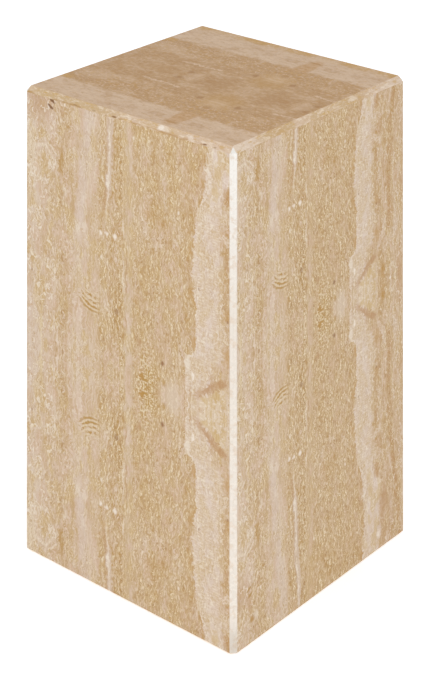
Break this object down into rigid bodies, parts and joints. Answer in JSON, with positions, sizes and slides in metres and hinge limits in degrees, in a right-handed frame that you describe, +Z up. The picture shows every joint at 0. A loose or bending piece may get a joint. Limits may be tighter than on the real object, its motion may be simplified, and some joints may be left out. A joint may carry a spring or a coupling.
{
  "type": "travertine pillar",
  "caption": "Square hollow pillar of mitred travertine slabs with bevelled edges, open underneath, for standing things on.",
  "frame": {"origin": "middle of the underside, on the surface that the pillar stands on", "axes": "+Z up, along the pillar's height; the four sides face along X and Y, with the side on the picture's left facing -Y and the side on its right facing +X"},
  "size_m": [0.355, 0.355, 0.6],
  "materials": {
    "travertine_uprights": "satin",
    "travertine_top": "satin"
  },
  "bodies": {
    "root": {"front_slab": "travertine_uprights", "right_slab": "travertine_uprights", "back_slab": "travertine_uprights", "left_slab": "travertine_uprights", "top_slab": "travertine_top"}
  },
  "joints": []
}
